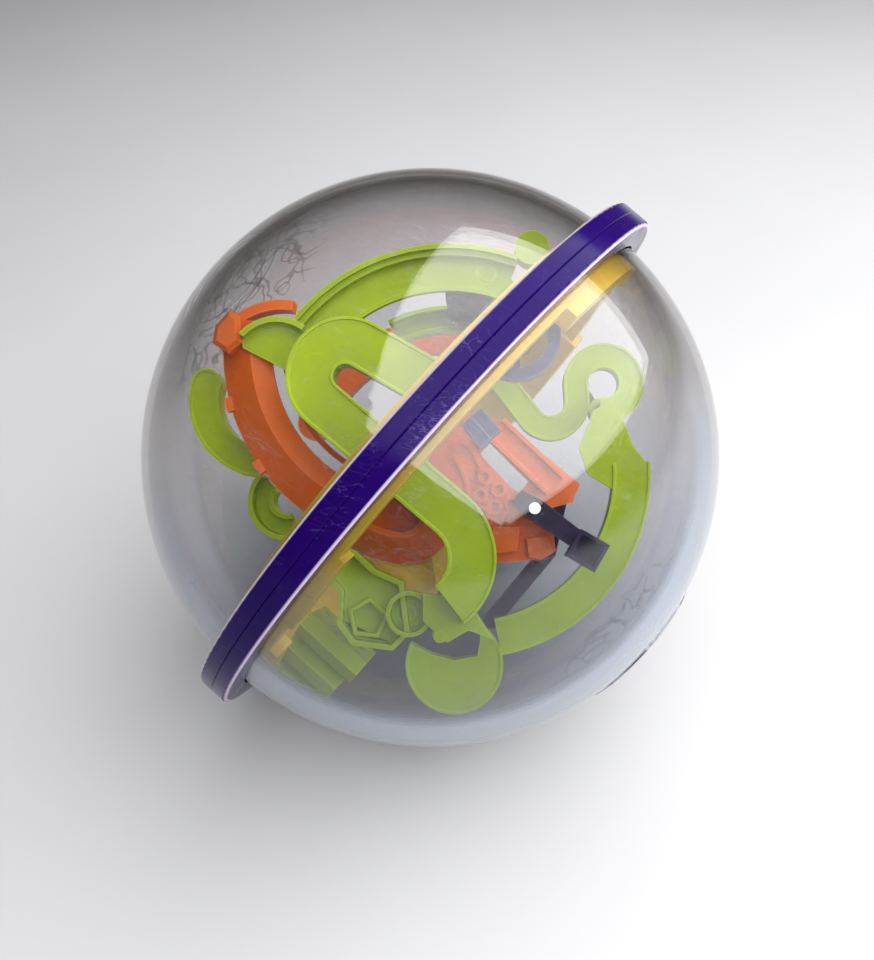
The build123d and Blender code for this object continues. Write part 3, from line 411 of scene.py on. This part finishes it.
def clear_material(settings):
    """Smoky clear plastic: tinted, darker where it is seen edge on (partly the longer path through it, partly
    painted shade that is heavier on the darker side), with painted shade and a pale painted reflection along
    the side away from the darker one, and a film of fine wear.
    """
    material, wiring, out = new_material("smoky_clear_plastic")
    place = wiring.add("ShaderNodeTexCoord").outputs["Object"]
    grazing = wiring.add("ShaderNodeLayerWeight", Blend=0.5).outputs["Facing"]
    toward_shadow_side = wiring.add("ShaderNodeVectorMath", {"operation": "DOT_PRODUCT"})
    wiring.feed(toward_shadow_side, "0", place)
    wiring.feed(toward_shadow_side, "1", Vector(settings.shadow_side).normalized() / BALL_RADIUS)
    toward_shadow_side = toward_shadow_side.outputs["Value"]
    # Edge-on darkening: partly the longer path through the plastic, partly painted shade that is heavier
    # towards the darker side.
    limb = wiring.maths("POWER", grazing, LIMB_POWER)
    dark = wiring.maths("MULTIPLY", limb, wiring.spread(toward_shadow_side, -0.5, 0.6, 0.15, 1.0))
    tint = wiring.blend(dark, rgba(settings.clear_tint), rgba(settings.limb_tint))
    # Painted shade: the see-through colour is darkened on the side away from the darker one.
    lower = wiring.spread(toward_shadow_side, 0.1, -0.6)
    lower_shade_amount = wiring.maths("MULTIPLY", lower, LOWER_SHADE_AMOUNT)
    tint = wiring.blend(lower_shade_amount, tint, rgba(settings.lower_shade_tint))
    swirls = pole_swirls(wiring, place)
    tint = wiring.blend(swirls, tint, SWIRL_COLOUR)
    through = wiring.add("ShaderNodeBsdfTransparent", Color=tint).outputs[0]

    scratches = grouped(wiring, "hairline_scratches", Scale=30.0, Width=0.006, Amount=0.8)["Mask"]
    wear = grouped(wiring, "hairline_scratches", Scale=75.0, Width=0.012, Amount=0.5)["Mask"]
    marks = wiring.maths("MAXIMUM", wiring.maths("MAXIMUM", scratches, wear), swirls)
    film = wiring.spread(wiring.noise(place, 45.0, 5.0, 0.62), 0.4, 0.75, 0.3, 1.0)
    film = wiring.maths("MULTIPLY", film, settings.film)
    # Painted reflection: a pale lit layer is painted along the limb on the side away from the darker one, on
    # top of the real worn film and scratches.
    crescent_reflection = wiring.maths("MULTIPLY", wiring.spread(grazing, *CRESCENT_REFLECTION_FROM),
                            wiring.maths("MULTIPLY", lower, CRESCENT_REFLECTION_STRENGTH))
    haze_and_reflection = wiring.maths("ADD", film, wiring.maths("MULTIPLY", marks, 0.3))
    haze_and_reflection = wiring.maths("ADD", haze_and_reflection, crescent_reflection, clamp=True)
    bump = wiring.add("ShaderNodeBump", Strength=0.12, Distance=0.0001, Height=marks).outputs[0]
    # One lit layer carries both the real worn film and the painted reflection.
    film_and_reflection_layer = wiring.add("ShaderNodeBsdfPrincipled", Base_Color=rgba(settings.film_and_reflection_colour), Roughness=0.55,
                       Normal=bump).outputs[0]
    see_through = wiring.add("ShaderNodeMixShader")
    wiring.feed(see_through, "Fac", haze_and_reflection)
    wiring.feed(see_through, "1", through)
    wiring.feed(see_through, "2", film_and_reflection_layer)

    rough = wiring.maths("ADD", 0.03, wiring.maths("MULTIPLY", marks, 0.3))
    gleam = wiring.add("ShaderNodeBsdfPrincipled", Base_Color=(1.0, 1.0, 1.0, 1.0), Metallic=1.0,
                       Roughness=rough, Normal=bump).outputs[0]
    inside = wiring.add("ShaderNodeNewGeometry").outputs["Backfacing"]
    ratio = wiring.spread(inside, 0.0, 1.0, PLASTIC_IOR, 1.0 / PLASTIC_IOR)
    bounce = wiring.add("ShaderNodeFresnel", IOR=ratio).outputs[0]
    both = wiring.add("ShaderNodeMixShader")
    wiring.feed(both, "Fac", bounce)
    wiring.feed(both, "1", see_through.outputs[0])
    wiring.feed(both, "2", gleam)
    wiring.feed(out, "Surface", both.outputs[0])
    return material


def floor_material(colour):
    """Pale matt floor with a slight mottle."""
    material, wiring, out = new_material("pale_floor")
    place = wiring.add("ShaderNodeTexCoord").outputs["Object"]
    mottle = wiring.spread(wiring.noise(place, 6.0, 5.0), 0.3, 0.7, 0.0, 0.04)
    tone = wiring.blend(mottle, rgba(colour), (0.0, 0.0, 0.0, 1.0))
    shader = wiring.add("ShaderNodeBsdfPrincipled", Base_Color=tone, Roughness=0.8)
    shader.inputs["Specular IOR Level"].default_value = 0.2
    wiring.feed(out, "Surface", shader.outputs[0])
    return material


# ------------------------------------------------------------------ settings
def colour_setting(name, description, default):
    """A colour that a user may change."""
    return FloatVectorProperty(name=name, description=description, default=default, size=3, min=0.0, max=1.0,
                               subtype="COLOR")


class MazeBallPlastics(bpy.types.PropertyGroup):
    """Colours of the moulded pieces."""

    green: colour_setting("Green", "Lime green tracks", (0.42, 0.58, 0.004))
    # Painted highlight: each edge colour here is painted along that plastic's edges as a highlight, and also
    # colours its real hairline scratches.
    green_highlight_and_scratches: colour_setting("Green edges", "Thin edges of the green tracks", (0.72, 0.90, 0.06))
    orange: colour_setting("Orange", "Orange trough, cup and plate", (0.84, 0.155, 0.010))
    orange_highlight_and_scratches: colour_setting("Orange edges", "Thin edges of the orange pieces", (1.0, 0.30, 0.06))
    yellow: colour_setting("Yellow", "Ring between the domes and small shelves", (0.92, 0.62, 0.05))
    yellow_highlight_and_scratches: colour_setting("Yellow edges", "Thin edges of the yellow pieces", (1.0, 0.82, 0.3))
    violet: colour_setting("Dark purple", "Lever, strut and other dark pieces", (0.020, 0.008, 0.040))
    # Painted highlight along the edges of the dark purple pieces; the same colour marks their real scratches.
    violet_highlight_and_scratches: colour_setting("Dark purple edges", "Rubbed edges of the dark pieces", (0.16, 0.12, 0.22))
    slate: colour_setting("Slate", "Spinner and crease block", (0.085, 0.08, 0.20))
    # Painted highlight along the edges of the slate pieces; the same colour marks their real scratches.
    slate_highlight_and_scratches: colour_setting("Slate edges", "Rubbed edges of the slate pieces", (0.45, 0.44, 0.6))
    band: colour_setting("Band purple", "Halves of the equator band", (0.012, 0.0012, 0.085))
    # Painted highlight: this colour is painted along the band's two rims, as if they caught the light.
    band_rim_highlight: colour_setting("Band edges", "Rubbed rims of the band", (0.70, 0.58, 0.72))
    edge_round: FloatProperty(name="Edge rounding", description="Rounding of moulded edges",
                              default=0.00022, min=0.0, max=0.001, unit="LENGTH")


class MazeBallClear(bpy.types.PropertyGroup):
    """Look of the two clear domes."""

    clear_tint: colour_setting("Tint", "What one pass through the plastic leaves", (0.90, 0.895, 0.90))
    # Edge tint: partly the longer path through the plastic, partly painted shade, heavier on the darker side.
    limb_tint: colour_setting("Edge tint", "The same where the dome is seen edge on", (0.20, 0.15, 0.12))
    # Painted shade: the see-through colour goes towards this on the side away from the darker one.
    lower_shade_tint: colour_setting("Lower tint", "The same on the side away from the darker one",
                             (0.60, 0.64, 0.72))
    # Colour of the real worn film and of the pale painted reflection along the limb.
    film_and_reflection_colour: colour_setting("Film", "Colour of the worn film", (0.34, 0.38, 0.47))
    film: FloatProperty(name="Film amount", description="How much worn film lies on the domes", default=0.006,
                        min=0.0, max=0.5, subtype="FACTOR")
    # Painted shade: the limb is painted darker towards this side; painted shade and a pale painted reflection
    # go on the side away from it.
    shadow_side: FloatVectorProperty(name="Darker side", description="Side on which the domes look darker",
                                     default=(-0.50, 0.55, 0.67), size=3, subtype="DIRECTION")


class MazeBallStudio(bpy.types.PropertyGroup):
    """Camera, floor and lights."""

    azimuth: FloatProperty(name="Azimuth", description="Camera's angle round the ball",
                           default=math.radians(33.1), subtype="ANGLE")
    elevation: FloatProperty(name="Elevation", description="Camera's angle above the floor",
                             default=math.radians(41.1), subtype="ANGLE")
    distance: FloatProperty(name="Distance", description="Camera to the ball", default=0.345, unit="LENGTH")
    aim_right: FloatProperty(name="Aim right", description="The camera looks this far right of the centre",
                             default=0.0022, unit="LENGTH")
    aim_down: FloatProperty(name="Aim down", description="The camera looks this far below the centre",
                            default=0.0072, unit="LENGTH")
    lens: FloatProperty(name="Lens", description="Focal length in millimetres", default=37.9)
    floor_colour: colour_setting("Floor", "Pale floor", (0.49, 0.49, 0.50))
    window_power: FloatProperty(name="Window light", description="Wide soft light above and to the right",
                                default=31.0, subtype="POWER")
    sky_strength: FloatProperty(name="Sky", description="Light from all round", default=0.12)


# ------------------------------------------------------------------ pieces
def plastic(slot):
    """The finish of one of the record's slots, made the first time that it is asked for."""
    name = f"{slot}_finish"
    ready = bpy.data.materials.get(name)
    if ready:
        return ready
    colours = bpy.context.scene.maze_ball_plastics
    makers = {
        "maze_green": lambda: moulded_material(name, colours.green, colours.green_highlight_and_scratches, (0.26, 0.42)),
        "maze_orange": lambda: moulded_material(name, colours.orange, colours.orange_highlight_and_scratches, (0.24, 0.40)),
        "maze_yellow": lambda: moulded_material(name, colours.yellow, colours.yellow_highlight_and_scratches, (0.28, 0.44)),
        "maze_dark_purple": lambda: moulded_material(name, colours.violet, colours.violet_highlight_and_scratches, (0.3, 0.5)),
        "maze_slate": lambda: moulded_material(name, colours.slate, colours.slate_highlight_and_scratches, (0.25, 0.4)),
        "band_purple": lambda: moulded_material(
            name, colours.band, colours.band_rim_highlight, (0.10, 0.2), edge_highlight_amount=0.0, specular=0.08,
            patch=(SCUFF_AT, SCUFF_RADIUS), scratch_colour=SCUFF_COLOUR),
        "steel": lambda: steel_material(name, (0.62, 0.62, 0.63)),
    }
    return makers[slot]()


def make_pieces(slot, nodes):
    """Stands a moulded piece in for each of these CAD nodes."""
    edge_round = bpy.context.scene.maze_ball_plastics.edge_round
    for node in nodes:
        mould(node, plastic(slot), edge_round)
    return {"FINISHED"}


class MAZEBALL_OT_domes(bpy.types.Operator):
    """Give the two domes their clear plastic"""

    bl_idname = "mazeball.domes"
    bl_label = "Clear domes"

    def execute(self, context):
        material = clear_material(context.scene.maze_ball_clear)
        for node in ("dome_a", "dome_b"):
            piece = frame["nodes"][node]
            piece.data.materials.clear()
            piece.data.materials.append(material)
        return {"FINISHED"}


class MAZEBALL_OT_band(bpy.types.Operator):
    """Make the halves of the equator band and their screws"""

    bl_idname = "mazeball.band"
    bl_label = "Equator band"

    def execute(self, context):
        make_pieces("band_purple", ("band_half_a", "band_half_b"))
        return make_pieces("steel", ("band_screws",))


class MAZEBALL_OT_green_tracks(bpy.types.Operator):
    """Make the green tracks, blocks and cups"""

    bl_idname = "mazeball.green_tracks"
    bl_label = "Green tracks"

    def execute(self, context):
        return make_pieces("maze_green", (
            "wave_track", "wave_end_bracket", "hanging_pin", "top_arc_track", "inner_arc_track", "link_tab",
            "finger_track", "finger_cup", "stair_block", "star_tray", "finish_cup", "snake_track",
            "curve_track", "turn_basin", "rear_loop_track"))


class MAZEBALL_OT_orange_pieces(bpy.types.Operator):
    """Make the orange trough, its cup and the other orange pieces"""

    bl_idname = "mazeball.orange_pieces"
    bl_label = "Orange trough and plate"

    def execute(self, context):
        return make_pieces("maze_orange", (
            "trough", "trough_cup", "trough_block", "start_rail", "deck", "bridge_bar", "stop_block_near",
            "stop_block_far", "rear_arc_track"))


class MAZEBALL_OT_yellow_pieces(bpy.types.Operator):
    """Make the yellow ring between the domes and the yellow shelves"""

    bl_idname = "mazeball.yellow_pieces"
    bl_label = "Yellow ring and shelves"

    def execute(self, context):
        return make_pieces("maze_yellow", ("equator_frame", "spinner_bracket", "yellow_shelf", "rear_cup"))


class MAZEBALL_OT_dark_pieces(bpy.types.Operator):
    """Make the dark purple walls, strut, ramp and lever"""

    bl_idname = "mazeball.dark_pieces"
    bl_label = "Dark purple pieces"

    def execute(self, context):
        return make_pieces("maze_dark_purple", ("cross_bar", "purple_strut", "lever", "rear_ramp"))


class MAZEBALL_OT_slate_pieces(bpy.types.Operator):
    """Make the spinner, its axle and the crease block"""

    bl_idname = "mazeball.slate_pieces"
    bl_label = "Spinner and crease block"

    def execute(self, context):
        return make_pieces("maze_slate", ("spinner_wheel", "spinner_axle", "prism_block"))


class MAZEBALL_OT_steel_pieces(bpy.types.Operator):
    """Make the steel marble and the lever's pin"""

    bl_idname = "mazeball.steel_pieces"
    bl_label = "Marble and pin"

    def execute(self, context):
        make_pieces("steel", ("lever_pin",))
        mould("marble", plastic("steel"), 0.0)
        return {"FINISHED"}


# ------------------------------------------------------------------ studio
def view_axes(azimuth, elevation):
    """The camera's right, up and back directions."""
    back = Vector((math.sin(azimuth) * math.cos(elevation), -math.cos(azimuth) * math.cos(elevation),
                   math.sin(elevation)))
    right = Vector((math.cos(azimuth), math.sin(azimuth), 0.0))
    return right, back.cross(right), back


def add_camera(studio):
    """The camera, looking down at the ball."""
    right, up, back = view_axes(studio.azimuth, studio.elevation)
    aim = right * studio.aim_right - up * studio.aim_down
    data = bpy.data.cameras.new("camera")
    data.lens = studio.lens
    data.clip_start = 0.01
    data.clip_end = 20.0
    camera = bpy.data.objects.new("camera", data)
    bpy.context.scene.collection.objects.link(camera)
    camera.location = aim + back * studio.distance
    camera.rotation_euler = back.to_track_quat("Z", "Y").to_euler()
    bpy.context.scene.camera = camera


def add_soft_light(name, direction, distance, size, power):
    """A rectangular soft light that faces the ball."""
    data = bpy.data.lights.new(name, "AREA")
    data.shape = "RECTANGLE"
    data.size, data.size_y = size
    data.energy = power
    light = bpy.data.objects.new(name, data)
    bpy.context.scene.collection.objects.link(light)
    away = Vector(direction).normalized()
    light.location = away * distance
    light.rotation_euler = away.to_track_quat("Z", "Y").to_euler()


def add_floor(colour):
    """A wide level floor under the ball."""
    shape = bmesh.new()
    bmesh.ops.create_grid(shape, x_segments=8, y_segments=8, size=FLOOR_HALF_WIDTH)
    bmesh.ops.translate(shape, verts=shape.verts, vec=(0.0, 0.0, FLOOR_HEIGHT))
    mesh = bpy.data.meshes.new("floor")
    shape.to_mesh(mesh)
    shape.free()
    floor = bpy.data.objects.new("floor", mesh)
    bpy.context.scene.collection.objects.link(floor)
    mesh.materials.append(floor_material(colour))


def add_sky(strength):
    """Dim even light from all round, which the camera sees as a pale backdrop."""
    world = bpy.data.worlds.new("studio_sky")
    world.use_nodes = True
    world.node_tree.nodes.clear()
    wiring = Wiring(world.node_tree)
    place = wiring.add("ShaderNodeTexCoord").outputs["Generated"]
    height = wiring.add("ShaderNodeSeparateXYZ", Vector=place).outputs["Z"]
    tone = wiring.blend(wiring.spread(height, 0.0, 0.7), SKY_LOW, SKY_HIGH)
    seen = wiring.add("ShaderNodeLightPath").outputs["Is Camera Ray"]
    power = wiring.spread(seen, 0.0, 1.0, strength, BACKDROP)
    sky = wiring.add("ShaderNodeBackground", Color=tone, Strength=power)
    wiring.feed(wiring.add("ShaderNodeOutputWorld"), "Surface", sky.outputs[0])
    bpy.context.scene.world = world


class MAZEBALL_OT_studio(bpy.types.Operator):
    """Make the floor, the lights and the camera"""

    bl_idname = "mazeball.studio"
    bl_label = "Studio"

    def execute(self, context):
        studio = context.scene.maze_ball_studio
        context.scene.view_settings.view_transform = "Standard"
        add_floor(studio.floor_colour)
        add_sky(studio.sky_strength)
        add_soft_light("window", WINDOW_AT, WINDOW_DISTANCE, WINDOW_SIZE, studio.window_power)
        add_camera(studio)
        return {"FINISHED"}


# ------------------------------------------------------------------ panel and run
PIECE_OPERATORS = (
    MAZEBALL_OT_domes, MAZEBALL_OT_band, MAZEBALL_OT_green_tracks, MAZEBALL_OT_orange_pieces,
    MAZEBALL_OT_yellow_pieces, MAZEBALL_OT_dark_pieces, MAZEBALL_OT_slate_pieces, MAZEBALL_OT_steel_pieces,
    MAZEBALL_OT_studio)
SETTINGS = {"maze_ball_plastics": MazeBallPlastics, "maze_ball_clear": MazeBallClear,
            "maze_ball_studio": MazeBallStudio}


class MAZEBALL_PT_panel(bpy.types.Panel):
    """Buttons for the pieces of the maze ball"""

    bl_idname = "MAZEBALL_PT_panel"
    bl_label = "Maze ball"
    bl_space_type = "VIEW_3D"
    bl_region_type = "UI"
    bl_category = "Maze ball"

    def draw(self, context):
        for operator in PIECE_OPERATORS:
            self.layout.operator(operator.bl_idname)
        for name, settings in SETTINGS.items():
            box = self.layout.box()
            for key in settings.__annotations__:
                box.prop(getattr(context.scene, name), key)


def register():
    for settings in SETTINGS.values():
        bpy.utils.register_class(settings)
    for operator in PIECE_OPERATORS:
        bpy.utils.register_class(operator)
    bpy.utils.register_class(MAZEBALL_PT_panel)
    for name, settings in SETTINGS.items():
        setattr(bpy.types.Scene, name, PointerProperty(type=settings))


def unregister():
    for name in SETTINGS:
        delattr(bpy.types.Scene, name)
    bpy.utils.unregister_class(MAZEBALL_PT_panel)
    for operator in reversed(PIECE_OPERATORS):
        bpy.utils.unregister_class(operator)
    for settings in SETTINGS.values():
        bpy.utils.unregister_class(settings)


def main():
    register()
    bpy.ops.mazeball.domes()
    bpy.ops.mazeball.band()
    bpy.ops.mazeball.green_tracks()
    bpy.ops.mazeball.orange_pieces()
    bpy.ops.mazeball.yellow_pieces()
    bpy.ops.mazeball.dark_pieces()
    bpy.ops.mazeball.slate_pieces()
    bpy.ops.mazeball.steel_pieces()
    bpy.ops.mazeball.studio()


if __name__ == "__main__":
    main()
